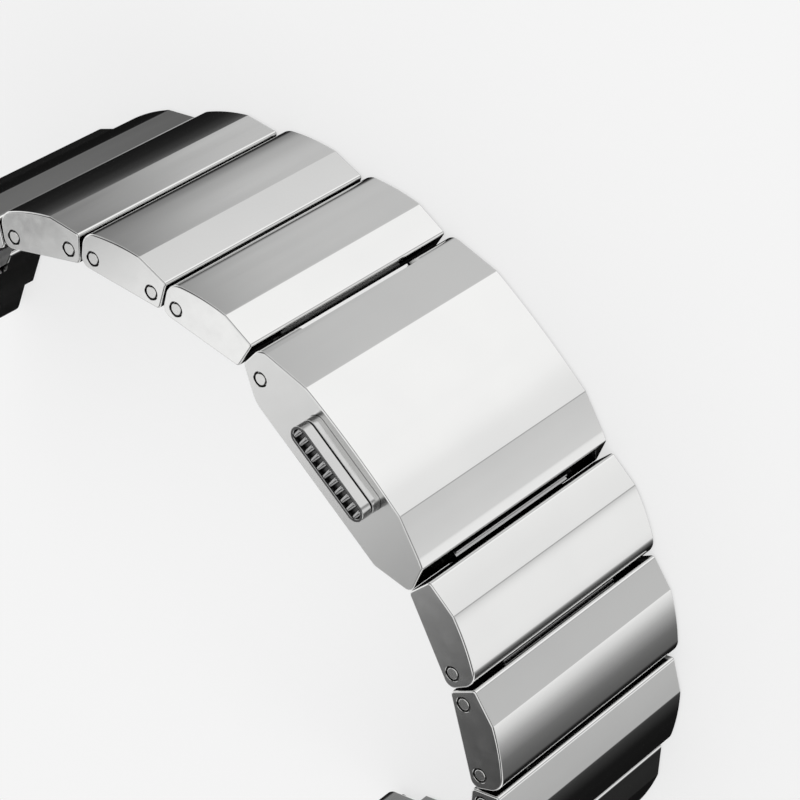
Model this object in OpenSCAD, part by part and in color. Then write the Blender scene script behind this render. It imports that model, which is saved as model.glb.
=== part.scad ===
/* [Band] */
// Width of the band, which is the height of the object as it lies on its side
band_w = 24; // [23.6:0.1:26]
// Distance between the two pins of a link
pin_span = 6.24; // [6.2:0.02:6.4]
// Distance between the two pins of a connector
connector_span = 2.64; // [2.64:0.02:2.8]
// Diameter of the pins that join links and connectors
pin_d = 1; // [0.9:0.05:1]
// Radius of the round ends of a connector
boss_r = 0.95; // [0.9:0.01:0.95]
// Width of the connectors and of the clasp's tongues
connector_w = 14.6; // [12:0.2:15]

/* [Link section] */
// Height of a link's crown above its pins
crown_h = 2.57; // [2.5:0.01:2.6]
// Radius of the gently curved long facet
crown_r = 18; // [16:0.5:22]
// Where the short facet meets the long one, measured from the middle of the link
kink_x = -1.52; // [-1.6:0.02:-1.4]
// Depth of a link below its pins
belly = 1.1; // [1.06:0.01:1.15]
// Radius of the rounded end that faces away from the clasp
nose_r = 1.52; // [1.45:0.01:1.52]

/* [Clasp] */
// Thickness of the clasp's roof over its hollow
roof_t = 0.9; // [0.8:0.05:1]
// Thickness of the clasp's inner plate
plate_t = 0.7; // [0.6:0.05:0.75]
// How far the catch-side link slides out to open the clasp
slide_travel = 6.5; // [6:0.1:7]

/* [Button] */
// How far the button goes in
button_travel = 0.9; // [0.8:0.05:0.9]
// How far the button stands out of the clasp's side
button_h = 2.2; // [2:0.05:2.4]
// Number of ribs on the button's face
rib_count = 11; // [9:1:11]

/* [Lug ends] */
// Distance between the lugs that the band fits
lug_w = 22; // [21.8:0.1:22]
// Diameter of the spring bars
spring_bar_d = 1.5; // [1.4:0.05:1.5]
// Diameter of the spring bars' tips
tip_d = 0.8; // [0.7:0.05:0.8]
// How far a quick-release tip draws in
tip_travel = 1; // [0.9:0.05:1]

/* [Shape at rest] */
// Angle of the first link on the clasp's hinge
hinge_rest = 26.2; // [22:0.2:28]
// Angle of the first link on the catch side, which is one piece with its tongue
catch_rest = 21; // [20:0.2:22]

/* [Hidden] */
$fn = 48;

// Bends at the two pins of each connector, from the clasp to the lugs
HINGE_BENDS = [[1.4, 5.2], [8.5, 8.6], [6.9, 6.9], [6.9, 6.8], [8, 8], [8, 8]];
CATCH_BENDS = [[3, 9.5], [9.7, 9.8], [9.5, 9.5], [10, 10], [10.5, 10.5], [10, 10]];
links = len(HINGE_BENDS);

// Clearances, each measured on the radius or on one side
press_gap = 0.01;
turn_gap = 0.03;
slide_gap = 0.1;
side_gap = 0.1;
end_gap = 0.1;
seat_gap = 0.02;

// How far a cut goes past the faces that it opens
cut = 1;

// Place of the clasp's pin in the object's frame, which centres the whole band
clasp_pin_x = 7.434;
clasp_pin_y = -23.304;

pin_r = pin_d / 2;
half_w = band_w / 2;
pin_inset = 0.02;
pin_l = band_w - 2 * pin_inset;
slot_w = connector_w + 2 * side_gap;
slot_r = boss_r + slide_gap;
slot_out = 3;
ring_w = 0.17;
ring_r = pin_r + ring_w;
ring_depth = 0.3;

// Small vector helpers
function turn(v, a) = [v.x * cos(a) - v.y * sin(a), v.x * sin(a) + v.y * cos(a)];
function unit(v) = v / norm(v);
function arc(centre, r, from, to, steps = 8) =
    [for (i = [0:steps]) centre + r * [cos(from + (to - from) * i / steps), sin(from + (to - from) * i / steps)]];

// Arc that rounds corner b on the way from a to c
function corner(a, b, c, r, steps = 6) =
    let (u = unit(a - b), v = unit(c - b), half = acos(u * v) / 2)
    let (centre = b + unit(u + v) * r / sin(half), start = b + u * r / tan(half) - centre)
    let (swing = (180 - 2 * half) * sign(cross(b - a, c - b)))
    [for (i = [0:steps]) centre + turn(start, swing * i / steps)];

// Poses are [x, y, angle], with x away from the clasp and y outwards from the wrist
function at(pose, v) = [pose.x, pose.y] + turn(v, pose.z);
function connector_pose(link, bend) = let (p = at(link, [pin_span / 2, 0])) [p.x, p.y, link.z - bend];
function next_link(bar, bend) =
    let (a = bar.z - bend, p = at(bar, [connector_span, 0]) + turn([pin_span / 2, 0], a)) [p.x, p.y, a];
function link_pose(first, bends, i) =
    i == 1 ? first : next_link(connector_pose(link_pose(first, bends, i - 1), bends[i - 2][0]), bends[i - 2][1]);

// The hinge side's first link hangs on the clasp's pin by a tongue of its own
TONGUE_PIN = [-5.95, -0.86];
TONGUE_ROOT = [-3.2, -0.1];
hinge_first_xy = -turn(TONGUE_PIN, -hinge_rest);
HINGE_FIRST = [hinge_first_xy.x, hinge_first_xy.y, -hinge_rest];
CATCH_FIRST = [23.86, -0.97, -catch_rest];

module in_frame() translate([clasp_pin_x, clasp_pin_y, half_w]) rotate([0, 0, 180]) children();
module hinge_side() in_frame() rotate([0, 180, 0]) children();
module catch_side() in_frame() children();
module posed(pose) translate([pose.x, pose.y, 0]) rotate([0, 0, pose.z]) children();
module across(w) translate([0, 0, -w / 2]) linear_extrude(w) children();
module rod(r, w) translate([0, 0, -w / 2]) cylinder(r = r, h = w);
module between(z0, z1) translate([0, 0, z0]) linear_extrude(z1 - z0) children();

// Section of a link: short facet, kink, long facet, round end away from the clasp
CROWN = [-0.3, crown_h - crown_r];
link_end = 4.37;
nose_x = link_end - nose_r;
nose_y = CROWN.y + sqrt(pow(crown_r - nose_r, 2) - pow(nose_x - CROWN.x, 2));
kink_angle = acos((kink_x - CROWN.x) / crown_r);
nose_angle = atan2(nose_y - CROWN.y, nose_x - CROWN.x);
KINK = CROWN + crown_r * [cos(kink_angle), sin(kink_angle)];
lower_r = 0.85;
TOP_CORNER = [-4.54, 1.47];
top_corner_r = 0.15;
foot_x = -4.1;
cut_foot_x = -3.74;
foot_r = 0.4;

function link_outline(foot) = concat(
    corner([nose_x, -belly], [foot, -belly], TOP_CORNER, foot_r),
    corner([foot, -belly], TOP_CORNER, KINK, top_corner_r),
    arc(CROWN, crown_r, kink_angle, nose_angle),
    arc([nose_x, nose_y], nose_r, nose_angle, 0),
    arc([nose_x + nose_r - lower_r, lower_r - belly], lower_r, 0, -90)
);

// Room for a connector's end round a pin, open below and towards way
module connector_slot(way) {
    rod(slot_r, slot_w);
    across(slot_w) {
        translate([way > 0 ? 0 : -slot_out, 0]) square([slot_out, slot_r]);
        translate([way > 0 ? -slot_r : -slot_out, -belly - cut]) square([slot_out + slot_r, belly + cut]);
    }
}

// Bore for a pin through the cheeks, with the ring groove round each end of it
module pin_bore() {
    rod(pin_r + press_gap, band_w + cut);
    for (s = [-1, 1]) translate([0, 0, s * half_w]) rod(ring_r, 2 * ring_depth);
}

module pin() {
    color("gainsboro") rod(pin_r, pin_l);
}

module bar(from, to, r) {
    run = to - from;
    translate(from) rotate(atan2(run.y, run.x)) {
        translate([0, -r]) square([norm(run), 2 * r]);
        circle(r);
    }
}

// Link with a slot and a pin bore at both ends
module link_body() {
    difference() {
        across(band_w) polygon(link_outline(foot_x));
        for (s = [-1, 1]) translate([s * pin_span / 2, 0]) {
            connector_slot(s);
            pin_bore();
        }
    }
}

// First link of the hinge side, with the tongue that the clasp's pin holds
module hinge_first_body() {
    difference() {
        union() {
            across(band_w) polygon(link_outline(cut_foot_x));
            across(connector_w) bar(TONGUE_PIN, TONGUE_ROOT, boss_r);
        }
        translate(TONGUE_PIN) rod(pin_r + turn_gap, band_w);
        translate([pin_span / 2, 0]) {
            connector_slot(1);
            pin_bore();
        }
    }
}

module connector_body() {
    difference() {
        across(connector_w) union() {
            bar([0, 0], [connector_span, 0], boss_r);
            translate([connector_span, 0]) circle(boss_r);
        }
        for (x = [0, connector_span]) translate([x, 0]) rod(pin_r + turn_gap, band_w);
    }
}

// The clasp, drawn round its pin: x runs from the hinge to the catch
HINGE_KINK = [2.86, 3.68];
CATCH_KINK = [14.92, 3.71];
facet_r = 83;
facet_half = (CATCH_KINK.x - HINGE_KINK.x) / 2;
facet_mid = (HINGE_KINK.x + CATCH_KINK.x) / 2;
facet_y = (HINGE_KINK.y + CATCH_KINK.y) / 2 - sqrt(facet_r * facet_r - facet_half * facet_half);
facet_swing = asin(facet_half / facet_r);
HINGE_FOOT = [-1.82, -0.51];
HINGE_TOP = [-1.82, 2.02];
CATCH_TOP = [19.28, 2.25];
CATCH_FOOT = [19.95, -0.47];
clasp_belly = -2.07;
BELLY_HINGE = [1.06, clasp_belly];
BELLY_CATCH = [16.58, clasp_belly];

function clasp_outline() = concat(
    corner(HINGE_FOOT, HINGE_TOP, HINGE_KINK, 1.1, 10),
    arc([facet_mid, facet_y], facet_r, 90 + facet_swing, 90 - facet_swing),
    corner(CATCH_KINK, CATCH_TOP, CATCH_FOOT, 0.35),
    corner(CATCH_TOP, CATCH_FOOT, BELLY_CATCH, 0.78),
    corner(CATCH_FOOT, BELLY_CATCH, BELLY_HINGE, 1),
    corner(BELLY_CATCH, BELLY_HINGE, HINGE_FOOT, 2.5),
    corner(BELLY_HINGE, HINGE_FOOT, HINGE_TOP, 0.6)
);

// Hollow of the clasp and the plate that closes it
hollow_x0 = 3.2;
hollow_x1 = 13;
side_wall = 1.6;
hollow_half_w = half_w - side_wall;
roof_y = 3.8;
hollow_top = roof_y - roof_t;
plate_x0 = 2.6;
plate_x1 = 15.5;
plate_seat = 0.5;
plate_half_w = hollow_half_w + plate_seat;
plate_top = clasp_belly + plate_t;
plate_gap = 0.04;
screw_inset = 1.4;
screw_z = plate_half_w - screw_inset;
SCREWS = [for (x = [plate_x0 + screw_inset, plate_x1 - screw_inset], z = [-screw_z, screw_z]) [x, z]];
screw_r = 0.45;
screw_head_r = 0.8;
screw_head_h = 0.35;
screw_l = 1.9;
screw_slot_w = 0.2;
screw_slot_h = 0.15;
boss_wall_r = 1.1;

// Socket for the catch tongue, with the tongue's own size inside it
tongue_y0 = -0.35;
tongue_y1 = 1.15;
tongue_half_w = connector_w / 2 - side_gap;
tongue_free = 0.25;
tongue_x0 = CATCH_FOOT.x + tongue_free - slide_travel;
tongue_x1 = 21.5;
fork_x1 = 18.3;
prong_w = 1.8;
prong_in = tongue_half_w - prong_w;
notch_x0 = 14.9;
notch_x1 = 16.2;
notch_wall = 1;
notch_z = tongue_half_w - notch_wall;

// Button, whose tier slides through the clasp's near side
button_y = 2.315;
button_x0 = 5.585;
button_x1 = 12.585;
button_r = 0.865;
tier_tuck = 0.2;
tier_in = hollow_half_w + tier_tuck;
tier_h = 1.03;
tier_out = half_w + tier_h;
button_out = half_w + button_h;
shank_r = 0.5;
clip_t = 0.35;
shank_l = 1.6;
clip_l = 0.6;
clip_z0 = tier_in - clip_l;
shank_in = tier_in - shank_l;
shank_x1 = 12;
clip_r = 0.36;
clip_y0 = 0.6;
stem_x = 12;
stem_r = 0.45;
stem_y = 0.4;
stem_foot_h = 0.8;

// Leaf of the catch spring
leaf_gap = 0.4;
leaf_z = prong_in - leaf_gap;
leaf_t = 0.3;
leaf_y0 = -0.2;
leaf_y1 = 1;
leaf_x0 = 3.6;
leaf_x1 = 16.3;
tab_w = 3.4;
tab_z0 = leaf_z - tab_w;
tab_x1 = 7.4;
tooth_x0 = notch_x0 + slide_gap;
tooth_x1 = 16;
tooth_tip = 0.3;
tooth_gap = 0.15;
tooth_z = notch_z - tooth_gap;
catch_screw_x = 5.2;
catch_screw_inset = 2;
catch_screw_z = leaf_z - catch_screw_inset;

module stadium(x0, x1, r) {
    translate([x0, -r]) square([x1 - x0, 2 * r]);
    for (x = [x0, x1]) translate([x, 0]) circle(r);
}

module button_section(r) translate([0, button_y]) stadium(button_x0, button_x1, r);
module shank_section(r) translate([0, button_y]) stadium(button_x0, shank_x1, r);

// Holes for the plate's screws, drilled from the wrist side
module plate_screws(shank, head, top) {
    for (p = SCREWS) translate([p.x, clasp_belly, p.y]) rotate([-90, 0, 0]) {
        translate([0, 0, -cut]) cylinder(r = shank, h = top + cut);
        translate([0, 0, -cut]) cylinder(r = head, h = screw_head_h + 2 * seat_gap + cut);
    }
}

module clasp_hollow() {
    difference() {
        translate([hollow_x0, clasp_belly - cut, -hollow_half_w])
            cube([hollow_x1 - hollow_x0, hollow_top - clasp_belly + cut, 2 * hollow_half_w]);
        for (s = [-1, 1]) translate([SCREWS[0].x, plate_top, s * screw_z]) rotate([-90, 0, 0])
            cylinder(r = boss_wall_r, h = clip_y0 - end_gap - plate_top);
    }
    translate([plate_x0 - plate_gap, clasp_belly - cut, -plate_half_w - plate_gap])
        cube([plate_x1 - plate_x0 + 2 * plate_gap, plate_t + cut, 2 * (plate_half_w + plate_gap)]);
}

module clasp_socket() {
    translate([hollow_x1 - cut, tongue_y0 - slide_gap, -tongue_half_w - slide_gap])
        cube([CATCH_FOOT.x, tongue_y1 - tongue_y0 + 2 * slide_gap, 2 * (tongue_half_w + slide_gap)]);
}

module clasp_case() color("silver") in_frame() difference() {
    across(band_w) polygon(clasp_outline());
    clasp_hollow();
    clasp_socket();
    pin_bore();
    connector_slot(-1);
    between(tier_in - button_travel - slide_gap, band_w) button_section(button_r + turn_gap);
    plate_screws(screw_r + press_gap, screw_r + press_gap, screw_l + end_gap);
}

module clasp_base() color("silver") in_frame() difference() {
    translate([plate_x0, clasp_belly, -plate_half_w]) cube([plate_x1 - plate_x0, plate_t, 2 * plate_half_w]);
    plate_screws(screw_r + turn_gap, screw_head_r + turn_gap, plate_t + cut);
    translate([catch_screw_x, clasp_belly - cut, catch_screw_z]) rotate([-90, 0, 0])
        cylinder(r = screw_r + press_gap, h = plate_t + 2 * cut);
}

// Flat slotted screw, head first, drawn along Z from its outer face
module screw(length) {
    difference() {
        union() {
            cylinder(r = screw_head_r, h = screw_head_h);
            cylinder(r = screw_r, h = length);
        }
        translate([-screw_head_r - cut, -screw_slot_w / 2, -cut])
            cube([2 * (screw_head_r + cut), screw_slot_w, cut + screw_slot_h]);
    }
}

module base_screws() color("gray") in_frame() {
    for (p = SCREWS) translate([p.x, clasp_belly + seat_gap, p.y]) rotate([-90, 0, 0]) screw(screw_l);
}

module clasp_pin() in_frame() pin();

module push_button() color("silver") in_frame() {
    between(tier_in, tier_out) button_section(button_r);
    between(clip_z0 + clip_t, tier_in) shank_section(shank_r);
    between(clip_z0, clip_z0 + clip_t) shank_section(clip_r);
    between(shank_in, clip_z0) shank_section(shank_r);
    translate([stem_x - stem_r, stem_y - stem_r, shank_in]) cube([2 * stem_r, button_y - stem_y, stem_foot_h]);
    translate([stem_x, stem_y, leaf_z + leaf_t + seat_gap]) cylinder(r = stem_r, h = shank_in - leaf_z);
}

// Ribbed cap on the button: a rim round a sunk field of ribs
rim = 0.25;
sink = 0.25;
rib_pitch = 0.76;
rib_r = 0.24;
button_mid = (button_x0 + button_x1) / 2;
peg_h = 0.35;
module button_cap() color("gray") in_frame() {
    difference() {
        between(tier_out + 0.05, button_out) button_section(button_r);
        between(button_out - sink, button_out + cut) button_section(button_r - rim);
        between(tier_out, tier_out + peg_h) button_section(shank_r + press_gap);
    }
    between(tier_out, tier_out + peg_h) button_section(shank_r);
    for (i = [0:rib_count - 1]) {
        x = button_mid + (i - (rib_count - 1) / 2) * rib_pitch;
        past = max(0, abs(x - button_mid) - (button_x1 - button_x0) / 2);
        reach = sqrt(pow(button_r - rim, 2) - past * past);
        translate([x, button_y, button_out - sink]) rotate([90, 0, 0]) rod(rib_r, 2 * reach - 0.1);
    }
}

// U-shaped clip that keeps the button from coming out, pushed over its shank from the wrist side
module button_clip() color("gray") in_frame()
    between(clip_z0 + seat_gap, clip_z0 + clip_t - seat_gap) difference() {
    translate([hollow_x0 + end_gap, clip_y0])
        square([hollow_x1 - hollow_x0 - 2 * end_gap, hollow_top - clip_y0 - end_gap]);
    shank_section(clip_r + seat_gap);
    translate([button_x0 - clip_r - seat_gap, button_y])
        square([shank_x1 - button_x0 + 2 * (clip_r + seat_gap), hollow_top]);
}

// Leaf spring with a tooth that holds the tongue; the button pushes the leaf away
module catch_spring() color("slategray") in_frame() {
    difference() {
        translate([leaf_x0, plate_top, tab_z0]) cube([tab_x1 - leaf_x0, leaf_t, leaf_z + leaf_t - tab_z0]);
        translate([catch_screw_x, plate_top - cut, catch_screw_z]) rotate([-90, 0, 0])
            cylinder(r = screw_r + turn_gap, h = leaf_t + 2 * cut);
    }
    translate([leaf_x0, plate_top, leaf_z]) cube([tab_x1 - leaf_x0, leaf_y1 - plate_top, leaf_t]);
    translate([leaf_x0, leaf_y0, leaf_z]) cube([leaf_x1 - leaf_x0, leaf_y1 - leaf_y0, leaf_t]);
    translate([0, leaf_y1]) rotate([90, 0, 0]) linear_extrude(leaf_y1 - leaf_y0)
        polygon([[tooth_x0, leaf_z], [tooth_x1, leaf_z], [tooth_x1, tooth_z], [tooth_x1 - tooth_tip, tooth_z]]);
}

module catch_screw() color("gray") in_frame() {
    translate([catch_screw_x, plate_top + leaf_t + screw_head_h, catch_screw_z]) rotate([90, 0, 0])
        screw(leaf_t + screw_head_h + plate_t - end_gap);
}

// Block as thick as the catch tongue, or thicker by more on both sides
module tongue_block(x0, x1, z0, z1, more) {
    translate([x0, tongue_y0 - more, z0]) cube([x1 - x0, tongue_y1 - tongue_y0 + 2 * more, z1 - z0]);
}

// First link of the catch side, one piece with its forked tongue
module catch_first() color("silver") catch_side() {
    posed(CATCH_FIRST) difference() {
        across(band_w) polygon(link_outline(cut_foot_x));
        translate([pin_span / 2, 0]) {
            connector_slot(1);
            pin_bore();
        }
    }
    difference() {
        tongue_block(tongue_x0, tongue_x1, -tongue_half_w, tongue_half_w, 0);
        tongue_block(tongue_x0 - cut, fork_x1, -prong_in, prong_in, cut);
        tongue_block(notch_x0, notch_x1, 0, notch_z, cut);
    }
}

// End of the band: a link's clasp side, then a nose that fits between the lugs
nose_w = lug_w - 2 * side_gap;
shoulder_x = 1.6;
shoulder_r = 0.3;
shoulder_y = 2.2;
LUG_PIN = [4.3, 0.15];
nose_end_r = 1.3;
nose_top = 1.7;
nose_end_from = 84;
bar_r = spring_bar_d / 2;
tip_r = tip_d / 2;
bar_half_l = lug_w / 2 - 2 * side_gap;
tip_reach = 0.9;
tip_out = lug_w / 2 + tip_reach;
tube_wall = 0.1;
bore_r = bar_r - tube_wall;
bore_bottom = 2;
plunger_in = 5;
plunger_gap = 0.05;
plunger_r = bore_r - plunger_gap;
lever_z = 7.4;
lever_r = 0.35;
lever_reach = 2.5;
lever_gap = 0.15;
lever_head_r = 0.55;
lever_head_h = 0.6;

function end_outline() = concat(
    corner([shoulder_x, -belly], [foot_x, -belly], TOP_CORNER, foot_r),
    corner([foot_x, -belly], TOP_CORNER, KINK, top_corner_r),
    arc(CROWN, crown_r, kink_angle, acos((shoulder_x - shoulder_r - CROWN.x) / crown_r)),
    [[shoulder_x, shoulder_y], [shoulder_x, -belly]]
);

function nose_outline() = concat(
    [[0, -belly], [0, nose_top], [shoulder_x, nose_top]],
    arc(LUG_PIN, nose_end_r, nose_end_from, -90, 12)
);

// The quick-release lever needs a slot along the bar, open towards the wrist
module lever_slot(way, r, reach) {
    run = tip_travel + end_gap;
    for (z = [lever_z, lever_z - run]) translate([0, 0, way * z]) rotate([90, 0, 0])
        cylinder(r = r, h = reach);
    translate([-r, -reach, way > 0 ? lever_z - run : -lever_z]) cube([2 * r, reach, run]);
}

module end_link_body(way) difference() {
    union() {
        across(band_w) polygon(end_outline());
        across(nose_w) polygon(nose_outline());
    }
    translate([-pin_span / 2, 0]) {
        connector_slot(-1);
        pin_bore();
    }
    translate(LUG_PIN) {
        rod(bar_r + turn_gap, band_w);
        lever_slot(way, lever_r + lever_gap, belly + nose_top);
    }
}

// Tube of the spring bar: one fixed tip, and a bore for the sprung one, which its lever holds in
module spring_bar_body(way) difference() {
    union() {
        rod(bar_r, 2 * bar_half_l);
        mirror([0, 0, way > 0 ? 1 : 0]) cylinder(r = tip_r, h = tip_out);
    }
    mirror([0, 0, way > 0 ? 0 : 1]) translate([0, 0, bore_bottom])
        cylinder(r = bore_r, h = bar_half_l - bore_bottom + cut);
    lever_slot(way, lever_r + turn_gap, bar_r + cut);
}

module plunger_body(way) {
    mirror([0, 0, way > 0 ? 0 : 1]) {
        translate([0, 0, plunger_in]) cylinder(r = plunger_r, h = bar_half_l - plunger_in);
        translate([0, 0, plunger_in]) cylinder(r = tip_r, h = tip_out - plunger_in);
        translate([0, 0, lever_z]) rotate([90, 0, 0]) {
            cylinder(r = lever_r, h = lever_reach);
            translate([0, 0, lever_reach - lever_head_h]) cylinder(r = lever_head_r, h = lever_head_h);
        }
    }
}

// Coil spring between the bottom of the bore and the plunger
coil_wire_r = 0.07;
coil_r = 0.5;
coil_turns = 12;
coil_steps = 10;
wire_fn = 6;
module coil_body(way) {
    z0 = bore_bottom + coil_wire_r;
    z1 = plunger_in - coil_wire_r;
    n = coil_turns * coil_steps;
    rings = [for (i = [0:n]) let (a = 360 * i / coil_steps, z = z0 + (z1 - z0) * i / n)
        [for (k = [0:wire_fn - 1]) let (b = 360 * k / wire_fn, r = coil_r + coil_wire_r * cos(b))
            [r * cos(a), r * sin(a), z + coil_wire_r * sin(b)]]];
    mirror([0, 0, way > 0 ? 0 : 1]) polyhedron(
        points = [for (ring = rings) each ring],
        faces = concat(
            [[for (k = [0:wire_fn - 1]) k]],
            [for (i = [0:n - 1], k = [0:wire_fn - 1]) let (m = (k + 1) % wire_fn)
                [i * wire_fn + m, i * wire_fn + k, (i + 1) * wire_fn + k, (i + 1) * wire_fn + m]],
            [[for (k = [wire_fn - 1:-1:0]) n * wire_fn + k]]
        )
    );
}

// One half of the band, from its first link to its spring bar
function first(side) = side == "hinge" ? HINGE_FIRST : CATCH_FIRST;
function bends(side) = side == "hinge" ? HINGE_BENDS : CATCH_BENDS;
function pose_of(side, i) = link_pose(first(side), bends(side), i);

module on_side(side) {
    if (side == "hinge") hinge_side() children();
    else catch_side() children();
}

module side_link(side, i) {
    if (i > 1) color("silver") on_side(side) posed(pose_of(side, i)) link_body();
    else if (side == "hinge") color("silver") hinge_side() posed(HINGE_FIRST) hinge_first_body();
    else catch_first();
}

module side_connector(side, i) color("darkgray") on_side(side)
    posed(connector_pose(pose_of(side, i), bends(side)[i - 1][0])) connector_body();

// Pins of one link: the first link has one, and so has the end link
module side_pins(side, i) on_side(side) posed(pose_of(side, i)) {
    if (i > 1) translate([-pin_span / 2, 0]) pin();
    if (i <= links) translate([pin_span / 2, 0]) pin();
}

// On the hinge side the half turn about Y swaps the ends of the spring bar
module at_end(side) on_side(side) posed(pose_of(side, links + 1)) children();
module at_lug(side) at_end(side) translate(LUG_PIN) children();

clasp_case();
clasp_base();
base_screws();
clasp_pin();
push_button();
button_cap();
button_clip();
catch_spring();
catch_screw();
for (side = ["hinge", "catch"]) {
    way = side == "hinge" ? -1 : 1;
    for (i = [1:links]) {
        side_link(side, i);
        side_connector(side, i);
    }
    for (i = [1:links + 1]) side_pins(side, i);
    color("silver") at_end(side) end_link_body(way);
    color("darkgray") at_lug(side) spring_bar_body(way);
    color("gray") at_lug(side) plunger_body(way);
    color("slategray") at_lug(side) coil_body(way);
}
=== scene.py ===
"""Looks of the steel watch bracelet: finer meshes, steel materials, a studio and the camera.

Lengths are in millimetres until a mesh is made. A link's own frame has its origin midway
between its pins, x away from the clasp, y outwards from the wrist and z across the band.
The clasp's own frame has its origin on the hinge pin and x towards the catch.
"""

import math

import bpy
from mathutils import Matrix, Vector


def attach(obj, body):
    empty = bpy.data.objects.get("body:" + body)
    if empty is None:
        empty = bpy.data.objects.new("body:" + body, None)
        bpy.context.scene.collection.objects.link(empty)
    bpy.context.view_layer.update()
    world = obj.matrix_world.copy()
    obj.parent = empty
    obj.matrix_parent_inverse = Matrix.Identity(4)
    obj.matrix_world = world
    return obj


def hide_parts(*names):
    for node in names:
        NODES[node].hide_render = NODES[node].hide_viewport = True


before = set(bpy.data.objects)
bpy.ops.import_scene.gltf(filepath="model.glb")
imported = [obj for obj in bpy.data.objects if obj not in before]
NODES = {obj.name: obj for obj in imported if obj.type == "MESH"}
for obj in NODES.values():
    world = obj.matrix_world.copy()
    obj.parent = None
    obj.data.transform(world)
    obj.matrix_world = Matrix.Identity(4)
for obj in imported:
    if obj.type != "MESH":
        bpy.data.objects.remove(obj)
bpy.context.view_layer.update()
MM = 0.001

# Sizes of the band, the same as in the part's source
HALF_W = 12.0
PIN_SPAN = 6.24
HALF_SPAN = PIN_SPAN / 2
CONNECTOR_SPAN = 2.64
CONNECTOR_HALF_W = 7.3
BOSS_R = 0.95
PIN_R = 0.5
PIN_INSET = 0.02
RING_W = 0.17
RING_DEPTH = 0.3
SLOT_OUT = 3.0
PRESS_GAP = 0.01
SEAT_GAP = 0.02
TURN_GAP = 0.03
SIDE_GAP = 0.1
SLIDE_GAP = 0.1
CUT = 1.0
BORE_R = PIN_R + PRESS_GAP
TURN_R = PIN_R + TURN_GAP
RING_R = PIN_R + RING_W
SLOT_R = BOSS_R + SLIDE_GAP
SLOT_HALF_W = CONNECTOR_HALF_W + SIDE_GAP

# Section of a link, the same as in the part's source
BELLY = 1.1
CROWN_R = 18.0
CROWN_H = 2.57
CROWN = Vector((-0.3, CROWN_H - CROWN_R))
KINK_X = -1.52
NOSE_R = 1.52
LINK_END = 4.37
LOWER_R = 0.85
FOOT_R = 0.4
FOOT_X = -4.1
CUT_FOOT_X = -3.74
TOP_CORNER = Vector((-4.54, 1.47))
TONGUE_PIN = Vector((-5.95, -0.86))
TONGUE_ROOT = Vector((-3.2, -0.1))

# Section of the clasp, the same as in the part's source
HINGE_KINK, CATCH_KINK = Vector((2.86, 3.68)), Vector((14.92, 3.71))
HINGE_FOOT, HINGE_TOP = (-1.82, -0.51), (-1.82, 2.02)
CATCH_TOP, CATCH_FOOT = Vector((19.28, 2.25)), (19.95, -0.47)
CLASP_BELLY = -2.07
BELLY_HINGE, BELLY_CATCH = (1.06, CLASP_BELLY), (16.58, CLASP_BELLY)
FACET_R = 83.0

# Hollow and plate of the clasp, the same as in the part's source
HOLLOW_X0, HOLLOW_X1, HOLLOW_TOP = 3.2, 13.0, 2.9
SIDE_WALL = 1.6
HOLLOW_HALF_W = HALF_W - SIDE_WALL
PLATE_X0, PLATE_X1, PLATE_T = 2.6, 15.5, 0.7
PLATE_SEAT, PLATE_GAP = 0.5, 0.04
PLATE_HALF_W = HOLLOW_HALF_W + PLATE_SEAT
PLATE_TOP = CLASP_BELLY + PLATE_T

# Forked tongue of the catch, in the clasp's frame, the same as in the part's source
SLIDE_TRAVEL = 6.5
TONGUE_Y0, TONGUE_Y1 = -0.35, 1.15
TONGUE_HALF_W = CONNECTOR_HALF_W - SIDE_GAP
TONGUE_FREE = 0.25
TONGUE_X0, TONGUE_X1 = CATCH_FOOT[0] + TONGUE_FREE - SLIDE_TRAVEL, 21.5
FORK_X1 = 18.3
PRONG_W = 1.8
PRONG_IN = TONGUE_HALF_W - PRONG_W
NOTCH_X0, NOTCH_X1 = 14.9, 16.2
NOTCH_WALL = 1.0
NOTCH_Z = TONGUE_HALF_W - NOTCH_WALL

# Places at rest, the same as in the part's source
CLASP_PIN_X, CLASP_PIN_Y = 7.434, -23.304
CATCH_LINK_AT = (23.86, -0.97)
HINGE_REST, CATCH_REST = 26.2, 21.0
HINGE_BENDS = [(1.4, 5.2), (8.5, 8.6), (6.9, 6.9), (6.9, 6.8), (8, 8), (8, 8)]
CATCH_BENDS = [(3, 9.5), (9.7, 9.8), (9.5, 9.5), (10, 10), (10.5, 10.5), (10, 10)]
LINKS = len(HINGE_BENDS)

# Sizes of the looks alone
EDGE = 0.13
KINK_R = 0.45
TOP_R = 0.32
CATCH_FOOT_X = -3.92

# Points round a circle, and the steps of arcs in degrees
ROUND_POINTS = 48
FINE_STEP, ARC_STEP, COARSE_STEP = 1.5, 3.0, 6.0


# Outlines
def turned(v, degrees):
    a = math.radians(degrees)
    return Vector((v.x * math.cos(a) - v.y * math.sin(a), v.x * math.sin(a) + v.y * math.cos(a)))


def polar(centre, r, degrees):
    a = math.radians(degrees)
    return Vector((centre[0] + r * math.cos(a), centre[1] + r * math.sin(a)))


def direction(start, end):
    """Which way end lies from start, in degrees."""
    return math.degrees(math.atan2(end[1] - start[1], end[0] - start[0]))


def arc(centre, r, a0, a1, step=ARC_STEP):
    n = max(2, math.ceil(abs(a1 - a0) / step))
    return [polar(centre, r, a0 + (a1 - a0) * i / n) for i in range(n + 1)]


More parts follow.
